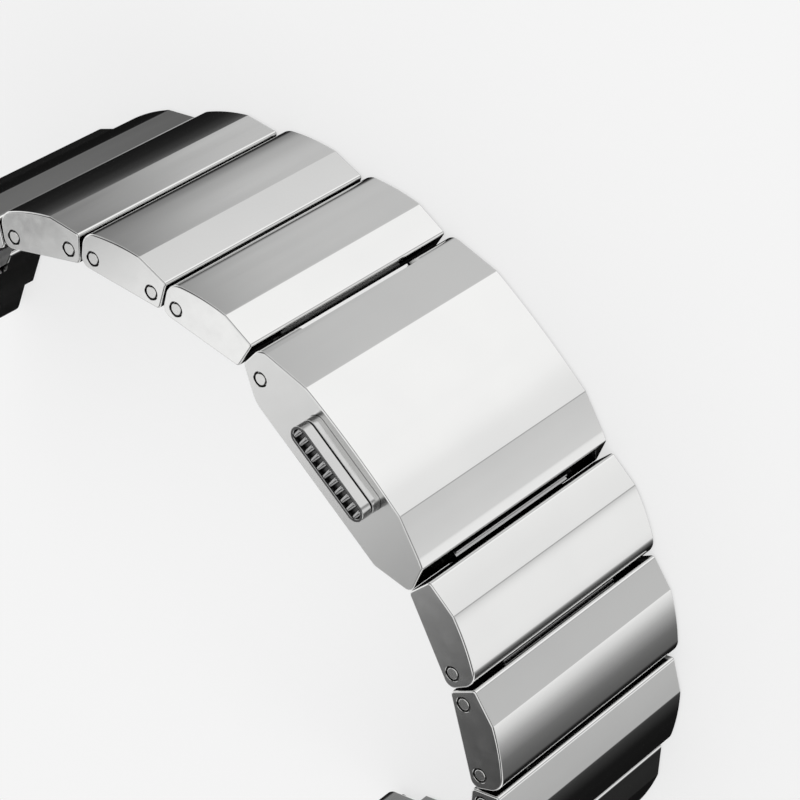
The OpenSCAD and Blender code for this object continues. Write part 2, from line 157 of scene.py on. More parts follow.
def corner(a, b, c, r):
    """Arc of radius r that rounds corner b on the way from a to c."""
    a, b, c = Vector(a), Vector(b), Vector(c)
    u, v = (a - b).normalized(), (c - b).normalized()
    half = math.acos(max(-1, min(1, u.dot(v)))) / 2
    centre = b + (u + v).normalized() * (r / math.sin(half))
    start = b + u * (r / math.tan(half)) - centre
    swing = 180 - 2 * math.degrees(half)
    if (b - a).cross(c - b) < 0:
        swing = -swing
    n = max(2, math.ceil(abs(swing) / COARSE_STEP))
    return [centre + turned(start, swing * i / n) for i in range(n + 1)]


def circle(centre, r, n=ROUND_POINTS):
    return [polar(centre, r, 360 * i / n) for i in range(n)]


def box(x0, y0, x1, y1):
    return [(x0, y0), (x1, y0), (x1, y1), (x0, y1)]


def stadium(x0, x1, y, r, n=24):
    """Long outline with two half-round ends about (x0, y) and (x1, y)."""
    right = [polar((x1, y), r, -90 + 180 * i / n) for i in range(n + 1)]
    left = [polar((x0, y), r, 90 + 180 * i / n) for i in range(n + 1)]
    return right + left


def bar_outline(start, end, r):
    """Round at its start, square at its end."""
    way = direction(start, end)
    side = turned(Vector((0, r)), way)
    return arc(start, r, way + 90, way + 270, COARSE_STEP) + [end - side, end + side]


# Section of a link: short facet, kink, crowned facet, nose, belly and foot
KINK_ANGLE = math.degrees(math.acos((KINK_X - CROWN.x) / CROWN_R))
KINK = polar(CROWN, CROWN_R, KINK_ANGLE)
CROWN_FROM = KINK_ANGLE - 1
NOSE_X = LINK_END - NOSE_R
NOSE_Y = CROWN.y + math.sqrt((CROWN_R - NOSE_R) ** 2 - (NOSE_X - CROWN.x) ** 2)
NOSE_ANGLE = direction(CROWN, (NOSE_X, NOSE_Y))


def back_of_link(right_x, foot):
    """Points shared by every link: foot, top corner on the clasp's side, and the short facet."""
    points = corner((right_x, -BELLY), (foot, -BELLY), TOP_CORNER, FOOT_R)
    points += corner((foot, -BELLY), TOP_CORNER, KINK, TOP_R)
    return points + corner(TOP_CORNER, KINK, polar(CROWN, CROWN_R, CROWN_FROM), KINK_R)


def link_outline(foot):
    points = back_of_link(NOSE_X, foot)
    points += arc(CROWN, CROWN_R, CROWN_FROM, NOSE_ANGLE, FINE_STEP)
    points += arc((NOSE_X, NOSE_Y), NOSE_R, NOSE_ANGLE, 0)[1:]
    points += arc((LINK_END - LOWER_R, LOWER_R - BELLY), LOWER_R, 0, -90, COARSE_STEP)
    return points


# Meshes

# Points nearer than the first value count as one, and the second keeps the inset of a very sharp
# corner from running away
SAME_POINT = 1e-4
SHARPEST = 0.3


def clean(points):
    """Drops doubled points and makes the outline run anticlockwise."""
    points = [Vector(p) for p in points]
    kept = [p for i, p in enumerate(points) if (p - points[i - 1]).length > SAME_POINT]
    area = sum(kept[i - 1].cross(kept[i]) for i in range(len(kept)))
    return kept if area > 0 else kept[::-1]


def inset(points, d):
    """The anticlockwise outline moved inwards by d."""
    moved = []
    n = len(points)
    for i, p in enumerate(points):
        before, after = (p - points[i - 1]).normalized(), (points[(i + 1) % n] - p).normalized()
        n0, n1 = Vector((-before.y, before.x)), Vector((-after.y, after.x))
        middle = (n0 + n1).normalized()
        moved.append(p + middle * (d / max(SHARPEST, middle.dot(n0))))
    return moved


def loft(rings):
    """Closed mesh data through rings of (outline, z), all with the same number of points."""
    n = len(rings[0][0])
    verts = [(p.x, p.y, z) for outline, z in rings for p in outline]
    faces = [tuple(range(n - 1, -1, -1))]
    for k in range(len(rings) - 1):
        a, b = k * n, (k + 1) * n
        faces += [(a + i, a + (i + 1) % n, b + (i + 1) % n, b + i) for i in range(n)]
    faces.append(tuple(range((len(rings) - 1) * n, len(rings) * n)))
    return verts, faces


def prism(points, z0, z1, edge=0.0, steps=3):
    """Outline drawn out from z0 to z1, with its two rims rounded by edge."""
    points = clean(points)
    if not edge:
        return loft([(points, z0), (points, z1)])
    turns = [math.pi / 2 * k / steps for k in range(steps + 1)]
    low = [(inset(points, edge * (1 - math.sin(t))), z0 + edge * (1 - math.cos(t))) for t in turns]
    high = [(outline, z0 + z1 - z) for outline, z in reversed(low)]
    return loft(low + high)


def block(x0, y0, x1, y1, z0, z1):
    return prism(box(x0, y0, x1, y1), z0, z1)


def lathe(profile, centre):
    """Turned solid about an axis along z, from a profile of (radius, z)."""
    return loft([(circle(centre, r), z) for r, z in profile])


def rim(r, z, edge):
    """Three points (radius, z) of a rounded rim. Edge is its width and its middle point's depth."""
    wide, middle = edge
    return [(r, z - wide), (r - middle, z - middle), (r - wide, z)]


def foot_rim(r, z, edge):
    """The same as rim, for the lower end of a piece."""
    return [(radius, 2 * z - up) for radius, up in reversed(rim(r, z, edge))]


def mesh_of(data, name):
    mesh = bpy.data.meshes.new(name)
    verts, faces = data
    mesh.from_pydata([[c * MM for c in v] for v in verts], [], faces)
    mesh.update()
    return mesh


def scratch(data):
    obj = bpy.data.objects.new("scratch", mesh_of(data, "scratch"))
    bpy.context.scene.collection.objects.link(obj)
    return obj


def minus(data):
    return "DIFFERENCE", data


def plus(data):
    return "UNION", data


def carved(base, steps, name):
    """Base with each (operation, data) done to it in turn."""
    obj = scratch(base)
    helpers = []
    for operation, data in steps:
        helper = scratch(data)
        helpers.append(helper)
        boolean = obj.modifiers.new("step", "BOOLEAN")
        boolean.operation = operation
        boolean.solver = "EXACT"
        boolean.object = helper
    bpy.context.view_layer.update()
    graph = bpy.context.evaluated_depsgraph_get()
    mesh = bpy.data.meshes.new_from_object(obj.evaluated_get(graph))
    mesh.name = name
    for used in [obj] + helpers:
        spent = used.data
        bpy.data.objects.remove(used)
        bpy.data.meshes.remove(spent)
    return mesh


# Edges that bend by more degrees than these stay crisp
CREASE, RIM_CREASE, CAP_CREASE = 12, 40, 20

# How much of an upright face's normal runs along z at most, and of a flat face's at least
UPRIGHT, FLAT = 0.05, 0.98


def on_rim(normal):
    """Whether a face belongs to a rounded rim, and so is neither upright nor flat."""
    return UPRIGHT < abs(normal.z) < FLAT


def shade(mesh, crease=CREASE):
    """Smooth faces with crisp edges; the narrow rounded rims stay smooth in themselves."""
    mesh.shade_smooth()
    edge_faces = {}
    for poly in mesh.polygons:
        for key in poly.edge_keys:
            edge_faces.setdefault(key, []).append(poly.normal.copy())
    for edge in mesh.edges:
        pair = edge_faces.get(edge.key, [])
        rims = [on_rim(normal) for normal in pair]
        if len(pair) != 2 or rims[0] != rims[1]:
            edge.use_edge_sharp = True
        else:
            angle = math.degrees(pair[0].angle(pair[1], 0))
            edge.use_edge_sharp = angle > (RIM_CREASE if rims[0] else crease)
    return mesh


# Steel: noise scales and depths, and the share of open surroundings where the painted shade in crevices is
# full and gone
GRAIN_SCALE = 900
WAVE_SCALE, WAVE_DEPTH = 220, 0.12
RELIEF = 0.02 * MM
PAINTED_SHADE_FROM, PAINTED_SHADE_TO, PAINTED_SHADE_SAMPLES = 0.12, 0.42, 12
GRAIN_FROM, GRAIN_TO = 0.3, 0.7
EVEN_GRAIN = (60, 60, 60)
GRAIN_ACROSS = (1, 1, 0.04)
GRAIN_ALONG = (0.03, 1, 1)


def feed(tree, made, sockets):
    """Sets each named socket to a value, or links it to another node's output."""
    for name, value in sockets.items():
        if isinstance(value, bpy.types.NodeSocket):
            tree.links.new(value, made.inputs[name])
        else:
            made.inputs[name].default_value = value


def node(tree, kind, sockets=None, **settings):
    made = tree.nodes.new(kind)
    for key, value in settings.items():
        setattr(made, key, value)
    feed(tree, made, sockets or {})
    return made


def noise(tree, scale, detail, stretch=(1, 1, 1)):
    place = node(tree, "ShaderNodeTexCoord").outputs["Object"]
    mapping = node(tree, "ShaderNodeMapping", {"Vector": place, "Scale": stretch})
    sockets = {"Vector": mapping.outputs["Vector"], "Scale": scale, "Detail": detail}
    return node(tree, "ShaderNodeTexNoise", sockets).outputs["Fac"]


def mapped(tree, value, start, end, low, high):
    """Value with the range from start to end brought to the one from low to high."""
    sockets = {"Value": value, "From Min": start, "From Max": end, "To Min": low, "To Max": high}
    return node(tree, "ShaderNodeMapRange", sockets).outputs["Result"]


def steel(name, dark, light, rough, grain=EVEN_GRAIN, scratches=0.02, occlusion=0.96, reach=0.002,
          cloudy=160, uneven=0.22):
    """Steel with cloudy polish, fine drawn grain, faint waviness, and painted shade that darkens its crevices
    and gaps.
    """
    material = bpy.data.materials.new(name)
    material.use_nodes = True
    tree = material.node_tree
    fine = noise(tree, GRAIN_SCALE, 2, grain)

    cloud = {"Factor": noise(tree, cloudy, 3), "A": (*dark, 1), "B": (*light, 1)}
    tone = node(tree, "ShaderNodeMix", cloud, data_type="RGBA").outputs["Result"]
    # Painted shade: ambient occlusion darkens the base colour where the surroundings are closed, in crevices,
    # gaps and grooves
    around = node(tree, "ShaderNodeAmbientOcclusion", {"Distance": reach}, samples=PAINTED_SHADE_SAMPLES)
    painted_shade = mapped(tree, around.outputs["AO"], PAINTED_SHADE_FROM, PAINTED_SHADE_TO, 1 - occlusion, 1.0)
    painted_shade_tone = {"Factor": 1.0, "A": tone, "B": painted_shade}
    colour = node(tree, "ShaderNodeMix", painted_shade_tone, data_type="RGBA", blend_type="MULTIPLY").outputs["Result"]

    gloss = mapped(tree, fine, GRAIN_FROM, GRAIN_TO, rough * (1 - uneven), rough * (1 + uneven))
    hairlines = {"Strength": scratches, "Distance": RELIEF, "Height": fine}
    lined = node(tree, "ShaderNodeBump", hairlines).outputs["Normal"]
    wave = noise(tree, WAVE_SCALE, 0)
    waves = {"Strength": WAVE_DEPTH, "Distance": RELIEF, "Height": wave, "Normal": lined}
    normal = node(tree, "ShaderNodeBump", waves).outputs["Normal"]
    shader = tree.nodes["Principled BSDF"]
    feed(tree, shader, {"Metallic": 1.0, "Base Color": colour, "Roughness": gloss, "Normal": normal})
    return material


STEELS = {
    "link_steel": dict(dark=(0.86, 0.86, 0.855), light=(0.91, 0.91, 0.9), rough=0.11, grain=GRAIN_ACROSS),
    "satin_steel": dict(dark=(0.9, 0.9, 0.895), light=(0.94, 0.94, 0.93), rough=0.23, grain=GRAIN_ACROSS,
                        scratches=0.01, reach=0.0005, cloudy=60, uneven=0.04),
    "tongue_steel": dict(dark=(0.84, 0.84, 0.835), light=(0.9, 0.9, 0.89), rough=0.13, occlusion=0.0),
    "pin_steel": dict(dark=(0.74, 0.74, 0.73), light=(0.86, 0.86, 0.85), rough=0.16),
    # The connectors' steel is rougher and more scratched, and darker: painted shade for the gaps between the
    # links, where it also colours the catch link's fork
    "connector_steel": dict(dark=(0.5, 0.5, 0.5), light=(0.6, 0.6, 0.6), rough=0.3, grain=GRAIN_ACROSS,
                            scratches=0.15),
    "plate_steel": dict(dark=(0.6, 0.6, 0.6), light=(0.72, 0.72, 0.71), rough=0.3, grain=GRAIN_ALONG,
                        scratches=0.2),
    "button_steel": dict(dark=(0.6, 0.6, 0.6), light=(0.71, 0.71, 0.7), rough=0.16, grain=GRAIN_ACROSS,
                         reach=0.0006),
    # Darker copies of the button's steel for the ribbed cap: painted shade, grey on the ribs and near-black
    # on the sunk field and the rim's front
    "button_rib_steel_painted_shade": dict(dark=(0.42, 0.42, 0.42), light=(0.54, 0.54, 0.54), rough=0.2,
                             grain=GRAIN_ACROSS),
    "button_field_painted_shade": dict(dark=(0.1, 0.1, 0.1), light=(0.16, 0.16, 0.16), rough=0.3),
    "spring_steel": dict(dark=(0.36, 0.37, 0.4), light=(0.46, 0.47, 0.5), rough=0.28, grain=GRAIN_ALONG,
                         scratches=0.15),
    "bar_steel": dict(dark=(0.6, 0.6, 0.61), light=(0.7, 0.7, 0.7), rough=0.22, grain=GRAIN_ACROSS,
                      scratches=0.1),
}
MATERIALS = {name: steel(name, **look) for name, look in STEELS.items()}


# Play when faces are picked by their place
HAIR = 0.01


def painted(mesh, slots, slot_of):
    """Gives the mesh the named steels, and each face the one that slot_of(spot, normal) picks."""
    for slot in slots:
        mesh.materials.append(MATERIALS[slot])
    for poly in mesh.polygons:
        poly.material_index = int(slot_of(poly.center / MM, poly.normal))
    return mesh


# Placing
CLASP_PIN = Vector((CLASP_PIN_X * MM, CLASP_PIN_Y * MM, HALF_W * MM))
CLASP_PLACE = Matrix.Translation(CLASP_PIN) @ Matrix.Rotation(math.pi, 4, "Z")
SIDES = {"hinge": CLASP_PLACE @ Matrix.Rotation(math.pi, 4, "Y"), "catch": CLASP_PLACE}


def posed(side, pose):
    x, y, degrees = pose
    bend = Matrix.Rotation(math.radians(degrees), 4, "Z")
    return SIDES[side] @ Matrix.Translation((x * MM, y * MM, 0)) @ bend


def chain(first, bends):
    """Poses of the links and of the connectors between them, from the clasp outwards."""
    links, bars = [first], []
    for a, b in bends:
        x, y, degrees = links[-1]
        pin = Vector((x, y)) + turned(Vector((HALF_SPAN, 0)), degrees)
        bars.append((pin.x, pin.y, degrees - a))
        end = pin + turned(Vector((CONNECTOR_SPAN, 0)), degrees - a)
        centre = end + turned(Vector((HALF_SPAN, 0)), degrees - a - b)
        links.append((centre.x, centre.y, degrees - a - b))
    return links, bars


HINGE_LINK_AT = -turned(TONGUE_PIN, -HINGE_REST)
CHAINS = {
    "hinge": chain((*HINGE_LINK_AT, -HINGE_REST), HINGE_BENDS),
    "catch": chain((*CATCH_LINK_AT, -CATCH_REST), CATCH_BENDS),
}


def add(name, mesh, place, body, slot, *replaced):
    obj = bpy.data.objects.new(name, mesh)
    bpy.context.scene.collection.objects.link(obj)
    obj.matrix_world = place
    if not mesh.materials:
        mesh.materials.append(MATERIALS[slot])
    weighted = obj.modifiers.new("even normals", "WEIGHTED_NORMAL")
    weighted.keep_sharp = True
    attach(obj, body)
    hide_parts(*replaced)
    return obj


# Links, with their bores, ring grooves and slots
RING_EDGE = 0.02
SLOT_STEP = 7.5
TONGUE_EDGE = 0.08
FORK_EDGE = 0.06
CONNECTOR_EDGE = 0.1
GROOVE_HALF_W = 9
TONGUE_GROOVE = [(-4.56, 1.0), (-4.56, 0.4), (-4.46, -0.1), (-4.02, -0.1), (-4.24, 1.0)]
FORK_GROOVE = [(19.5, 1.3), (19.5, 0.85), (19.73, 0.85), (19.76, -0.05), (20.14, 0.6), (20.14, 1.3)]

# The first hinge-side link's tongue takes steel without the painted crevice shade on its outward face, clear
# of the groove, so it stays paler
TONGUE_FACE_X, TONGUE_FACE_UP = -4.5, 0.8


def pin_holes(x):
    """Bore for a pin through the cheeks, with the ring groove at both of its ends."""
    groove = [(RING_R + RING_EDGE, CUT), (RING_R + RING_EDGE, 0), (RING_R, -RING_EDGE), (RING_R, -RING_DEPTH)]
    far = [(r, HALF_W + z) for r, z in reversed(groove)]
    near = [(r, -HALF_W - z) for r, z in groove]
    bore = prism(circle((x, 0), BORE_R), -HALF_W - CUT, HALF_W + CUT)
    return [minus(bore), minus(lathe(far, (x, 0))), minus(lathe(near, (x, 0)))]


def slot_cut(x, way):
    """Room for a connector's end, open below and away from the link's middle."""
    out = x + way * SLOT_OUT
    points = [(out, SLOT_R)] + arc((x, 0), SLOT_R, 90, 90 + way * 90, SLOT_STEP)
    points += [(x - way * SLOT_R, -BELLY - CUT), (out, -BELLY - CUT)]
    return minus(prism(points, -SLOT_HALF_W, SLOT_HALF_W))


def turning_bore(centre):
    return minus(prism(circle(centre, TURN_R), -HALF_W, HALF_W))


NOSE_CUTS = [slot_cut(HALF_SPAN, 1)] + pin_holes(HALF_SPAN)
BACK_CUTS = [slot_cut(-HALF_SPAN, -1)] + pin_holes(-HALF_SPAN)


def link():
    return shade(carved(prism(link_outline(FOOT_X), -HALF_W, HALF_W, EDGE), NOSE_CUTS + BACK_CUTS, "link"))


def hinge_first_link():
    """One piece with the tongue that turns on the clasp's pin, grooved at the tongue's root."""
    tongue_outline = bar_outline(TONGUE_PIN, TONGUE_ROOT, BOSS_R)
    tongue = prism(tongue_outline, -CONNECTOR_HALF_W, CONNECTOR_HALF_W, TONGUE_EDGE)
    groove = prism(TONGUE_GROOVE, -GROOVE_HALF_W, GROOVE_HALF_W)
    steps = [plus(tongue), turning_bore(TONGUE_PIN), minus(groove)] + NOSE_CUTS
    mesh = shade(carved(prism(link_outline(CUT_FOOT_X), -HALF_W, HALF_W, EDGE), steps, "hinge_first_link"))

    def tongue_face(spot, normal):
        within = spot.x < TONGUE_FACE_X and abs(spot.z) < CONNECTOR_HALF_W
        return within and normal.y > TONGUE_FACE_UP

    return painted(mesh, ("link_steel", "tongue_steel"), tongue_face)


def in_catch_link(data):
    """Data drawn in the clasp's frame, turned into the first catch-side link's frame."""
    verts, faces = data
    at_x, at_y, degrees = CHAINS["catch"][0][0]
    flat = [turned(Vector((x - at_x, y - at_y)), -degrees) for x, y, z in verts]
    return [(p.x, p.y, v[2]) for p, v in zip(flat, verts)], faces


def fork_block(x0, x1, z0, z1, more=0.0, edge=0.0):
    """Block as thick as the forked tongue, or thicker by more on both sides."""
    verts, faces = prism(box(x0, -z1, x1, -z0), TONGUE_Y0 - more, TONGUE_Y1 + more, edge)
    return in_catch_link(([(x, y, -minus_z) for x, minus_z, y in verts], faces))


def catch_first_link():
    """One piece with the forked tongue that slides in the clasp, grooved at the tongue's root."""
    groove = in_catch_link(prism(FORK_GROOVE, -GROOVE_HALF_W, GROOVE_HALF_W))
    steps = [
        plus(fork_block(TONGUE_X0, TONGUE_X1, -TONGUE_HALF_W, TONGUE_HALF_W, edge=FORK_EDGE)),
        minus(groove),
        minus(fork_block(TONGUE_X0 - CUT, FORK_X1, -PRONG_IN, PRONG_IN, CUT)),
        minus(fork_block(NOTCH_X0, NOTCH_X1, 0, NOTCH_Z, CUT)),
    ]
    base = prism(link_outline(CATCH_FOOT_X), -HALF_W, HALF_W, EDGE)
    mesh = shade(carved(base, steps + NOSE_CUTS, "catch_first_link"))

    # The fork takes the connectors' darker steel, painted shade where it lies in the gap by the clasp
    def fork_face(spot, normal):
        return spot.x < TOP_CORNER.x and abs(spot.z) < TONGUE_HALF_W + HAIR

    return painted(mesh, ("link_steel", "connector_steel"), fork_face)


def connector():
    base = prism(stadium(0, CONNECTOR_SPAN, 0, BOSS_R), -CONNECTOR_HALF_W, CONNECTOR_HALF_W, CONNECTOR_EDGE)
    return shade(carved(base, [turning_bore((x, 0)) for x in (0, CONNECTOR_SPAN)], "connector"))


# Pins
PIN_HALF_L = HALF_W - PIN_INSET
PIN_EDGE = (0.05, 0.015)
PIN_PROFILE = foot_rim(PIN_R, -PIN_HALF_L, PIN_EDGE) + rim(PIN_R, PIN_HALF_L, PIN_EDGE)


def pins_mesh(places, name):
    verts, faces = [], []
    for x in places:
        more, around = lathe(PIN_PROFILE, (x, 0))
        faces += [tuple(i + len(verts) for i in f) for f in around]
        verts += more
    return shade(mesh_of((verts, faces), name))


# End link: a link's clasp side with a narrower nose that fits between the lugs
SHOULDER_X, SHOULDER_Y, SHOULDER_R = 1.6, 2.2, 0.3
LUG_PIN = Vector((4.3, 0.15))
LUG_W = 22.0
SPRING_BAR_R = 0.75
BAR_BORE_R = SPRING_BAR_R + TURN_GAP
END_NOSE_R, END_NOSE_TOP, END_NOSE_FROM = 1.3, 1.7, 84
END_NOSE_HALF_W = LUG_W / 2 - SIDE_GAP
END_NOSE_EDGE = 0.15
LEVER_SLOT_OUT, LEVER_SLOT_IN = 7.4, 6.3
LEVER_SLOT_R, LEVER_SLOT_DEPTH = 0.5, 2.8


def end_base():
    shoulder = math.degrees(math.acos((SHOULDER_X - SHOULDER_R - CROWN.x) / CROWN_R))
    points = back_of_link(SHOULDER_X, FOOT_X) + arc(CROWN, CROWN_R, CROWN_FROM, shoulder, FINE_STEP)
    return prism(points + [(SHOULDER_X, SHOULDER_Y), (SHOULDER_X, -BELLY)], -HALF_W, HALF_W, EDGE)


def end_nose():
    points = [(0, -BELLY), (0, END_NOSE_TOP), (SHOULDER_X, END_NOSE_TOP)]
    points += arc(LUG_PIN, END_NOSE_R, END_NOSE_FROM, -90)
    return prism(points, -END_NOSE_HALF_W, END_NOSE_HALF_W, END_NOSE_EDGE)


def lever_slot(way):
    """Slot for the quick-release lever, from the spring bar down through the belly."""
    z0, z1 = sorted((way * LEVER_SLOT_OUT, way * LEVER_SLOT_IN))
    verts, faces = prism(stadium(z0, z1, 0, LEVER_SLOT_R), 0, LEVER_SLOT_DEPTH)
    return [(LUG_PIN.x + y, LUG_PIN.y - z, x) for x, y, z in verts], faces


def end_link(side, way):
    bore = prism(circle(LUG_PIN, BAR_BORE_R, n=64), -HALF_W - CUT, HALF_W + CUT)
    steps = [plus(end_nose()), minus(bore), minus(lever_slot(way))] + BACK_CUTS
    return shade(carved(end_base(), steps, side + "_end_link"))


link_mesh = link()
first_links = {"hinge": hinge_first_link(), "catch": catch_first_link()}
connector_mesh = connector()
first_pin = pins_mesh([HALF_SPAN], "first_link_pin")
link_pins = pins_mesh([-HALF_SPAN, HALF_SPAN], "link_pins")
end_pin = pins_mesh([-HALF_SPAN], "end_link_pin")
end_links = {"hinge": end_link("hinge", -1), "catch": end_link("catch", 1)}

for side, (link_poses, bar_poses) in CHAINS.items():
    prefix = side + "_side_"
    for i in range(1, LINKS + 1):
        body = prefix + "link_%d" % i
        place = posed(side, link_poses[i - 1])
        add(body + "_polished", link_mesh if i > 1 else first_links[side], place, body, "link_steel", body)
        pins = prefix + "pins_%d" % i
        add(pins + "_turned", link_pins if i > 1 else first_pin, place, body, "pin_steel", pins)
        bar = prefix + "connector_%d" % i
        add(bar + "_rounded", connector_mesh, posed(side, bar_poses[i - 1]), bar, "connector_steel", bar)
    place, body = posed(side, link_poses[LINKS]), prefix + "end"
    add(prefix + "end_link_polished", end_links[side], place, body, "link_steel", prefix + "end_link")
    pins = prefix + "pins_%d" % (LINKS + 1)
    add(pins + "_turned", end_pin, place, body, "pin_steel", pins)

# Clasp
HINGE_TOP_R, HINGE_FOOT_R = 1.1, 0.6
CATCH_TOP_R, CATCH_FOOT_R = 0.3, 0.78
BELLY_HINGE_R, BELLY_CATCH_R = 2.5, 1.0
ROLL_R, ROLL_SWING, ROLL_LENGTH = 6.0, 9.0, 1.1
FACET_STEP = 0.6
BUTTON_X0, BUTTON_X1, BUTTON_Y, BUTTON_R = 5.585, 12.585, 2.315, 0.865
BUTTON_SLOT_IN = 9.6
SLIDE_X0, SLIDE_X1 = 12.0, 21.0

# Room over the hinge-side tongue, as x0, y0, x1 and y1, and what counts as facing along z
HINGE_NOTCH = (-3.0, 0.9, -1.39, 3.0)
SIDEWAYS = 0.99


def main_facet():
    """Long arc from one kink of the clasp to the other."""
    half = (CATCH_KINK.x - HINGE_KINK.x) / 2
    middle = (HINGE_KINK + CATCH_KINK) / 2
    centre = (middle.x, middle.y - math.sqrt(FACET_R ** 2 - half ** 2))
    swing = math.degrees(math.asin(half / FACET_R))
    return arc(centre, FACET_R, 90 + swing, 90 - swing, FACET_STEP)


def rolled_end():
    """Arc that rolls the lower end of the catch-side facet inwards."""
    along = (CATCH_TOP - CATCH_KINK).normalized()
    way = direction((0, 0), along) + 90
    centre = polar(CATCH_TOP - along * ROLL_LENGTH, -ROLL_R, way)
    return arc(centre, ROLL_R, way, way - ROLL_SWING, FINE_STEP)


def clasp_outline():
    main, roll = main_facet(), rolled_end()
    points = corner(HINGE_FOOT, HINGE_TOP, HINGE_KINK, HINGE_TOP_R)
    points += corner(HINGE_TOP, HINGE_KINK, main[1], KINK_R) + main[1:-1]
    points += corner(main[-2], CATCH_KINK, CATCH_TOP, KINK_R) + roll[:-1]
    points += corner(roll[-2], roll[-1], CATCH_FOOT, CATCH_TOP_R)
    points += corner(CATCH_TOP, CATCH_FOOT, BELLY_CATCH, CATCH_FOOT_R)
    points += corner(CATCH_FOOT, BELLY_CATCH, BELLY_HINGE, BELLY_CATCH_R)
    points += corner(BELLY_CATCH, BELLY_HINGE, HINGE_FOOT, BELLY_HINGE_R)
    return points + corner(BELLY_HINGE, HINGE_FOOT, HINGE_TOP, HINGE_FOOT_R)


def room(x0, y0, x1, y1, half_w):
    return minus(block(x0, y0, x1, y1, -half_w, half_w))


def clasp_case():
    """Hollow shell, open towards the wrist, with room for both tongues and a slot for the button."""
    below = CLASP_BELLY - CUT
    slide_half_w = TONGUE_HALF_W + SLIDE_GAP
    button_slot = stadium(BUTTON_X0, BUTTON_X1, BUTTON_Y, BUTTON_R + TURN_GAP)
    steps = [
        room(HOLLOW_X0, below, HOLLOW_X1, HOLLOW_TOP, HOLLOW_HALF_W),
        room(PLATE_X0 - PLATE_GAP, below, PLATE_X1 + PLATE_GAP, PLATE_TOP, PLATE_HALF_W + PLATE_GAP),
        room(SLIDE_X0, TONGUE_Y0 - SLIDE_GAP, SLIDE_X1, TONGUE_Y1 + SLIDE_GAP, slide_half_w),
        room(*HINGE_NOTCH, CONNECTOR_HALF_W),
        slot_cut(0, -1),
        *pin_holes(0),
        minus(prism(button_slot, BUTTON_SLOT_IN, HALF_W + CUT)),
    ]
    mesh = shade(carved(prism(clasp_outline(), -HALF_W, HALF_W, EDGE), steps, "clasp_case"))

    def side_face(spot, normal):
        return abs(normal.z) > SIDEWAYS and abs(spot.z) > HALF_W - HAIR

    return painted(mesh, ("link_steel", "satin_steel"), side_face)


add("clasp_case_polished", clasp_case(), CLASP_PLACE, "clasp", "link_steel", "clasp_case")
add("clasp_pin_turned", pins_mesh([0], "clasp_pin"), CLASP_PLACE, "clasp", "pin_steel", "clasp_pin")

# Button: a tier with its shank and stem, and a ribbed cap, with a line between the two
TIER_IN, TIER_OUT, TIER_EDGE = 10.6, 12.97, (0.07, 0.02)
CAP_IN, CAP_OUT, CAP_FIELD = 13.14, 14.2, 13.8
CAP_FOOT_EDGE, CAP_EDGE = (0.06, 0.015), (0.08, 0.025)
CAP_RIM_W, CAP_INNER_MIDDLE = 0.25, 0.03
RIM_FRONT = 0.04
RIM_WALL = 0.1
SHANK_X1, SHANK_R, SHANK_L = 12.0, 0.5, 1.6
SHANK_IN = TIER_IN - SHANK_L
CLIP_L, CLIP_T, CLIP_R = 0.6, 0.35, 0.36
CLIP_Z0 = TIER_IN - CLIP_L
STEM_X, STEM_Y, STEM_R, STEM_FOOT_H = 12.0, 0.4, 0.45, 0.8
LEAF_GAP, LEAF_T = 0.4, 0.3
LEAF_Z = PRONG_IN - LEAF_GAP
STEM_IN = LEAF_Z + LEAF_T + SEAT_GAP
CORE_R, CORE_SUNK = 0.49, 0.3
RIB_COUNT, RIB_PITCH, RIB_R = 11, 0.76, 0.25
RIB_STEPS, RIB_RISE = 12, 1.05
RIB_EDGE, RIB_END_GAP = 0.1, 0.04
RIB_SUNK, RIB_FOOT_SUNK = 0.3, 0.6
RIB_Z, RIB_FOOT = CAP_OUT - RIB_SUNK, CAP_OUT - RIB_FOOT_SUNK
RIB_BASE, RIB_SIDEWAYS = 0.05, 0.3

# How far joined solids reach into each other
LAP = 0.1


def button_loft(profile):
    """Solid through the button's outline, grown or shrunk as the profile of (growth, z) says."""
    return loft([(clean(stadium(BUTTON_X0, BUTTON_X1, BUTTON_Y, BUTTON_R + grow)), z) for grow, z in profile])


def shank_section(r, z0, z1):
    return prism(stadium(BUTTON_X0, SHANK_X1, BUTTON_Y, r), z0, z1)


def push_button():
    """Lower tier, its shank with the clip's neck, and the stem that reaches the catch spring."""
    tier = button_loft([(0, TIER_IN)] + rim(0, TIER_OUT, TIER_EDGE))
    clip_z1 = CLIP_Z0 + CLIP_T
    foot_y, foot_z1 = STEM_Y - STEM_R, SHANK_IN + STEM_FOOT_H
    stem_foot = block(STEM_X - STEM_R, foot_y, STEM_X + STEM_R, BUTTON_Y, SHANK_IN, foot_z1)
    stem = prism(circle((STEM_X, STEM_Y), STEM_R, n=40), STEM_IN, STEM_IN + SHANK_IN - LEAF_Z)
    core = prism(stadium(BUTTON_X0, BUTTON_X1, BUTTON_Y, CORE_R), TIER_OUT - CORE_SUNK, CAP_IN + LAP)
    steps = [
        plus(shank_section(SHANK_R, SHANK_IN, TIER_IN + LAP)),
        minus(shank_section(SHANK_R + LAP, CLIP_Z0, clip_z1)),
        plus(shank_section(CLIP_R, CLIP_Z0, clip_z1)),
        plus(stem_foot),
        plus(stem),
        plus(core),
    ]
    return shade(carved(tier, steps, "push_button"))


def rib(x, half_l):
    """Rounded bar across the cap's field, at x along it."""
    points = []
    for k in range(RIB_STEPS + 1):
        t = math.pi * k / RIB_STEPS
        points.append((x + RIB_R * math.cos(t), RIB_Z + RIB_R * RIB_RISE * math.sin(t)))
    points += [(x - RIB_R, RIB_FOOT), (x + RIB_R, RIB_FOOT)]
    verts, faces = prism(points, -half_l, half_l, RIB_EDGE)
    return [(u, BUTTON_Y - w, v) for u, v, w in verts], faces


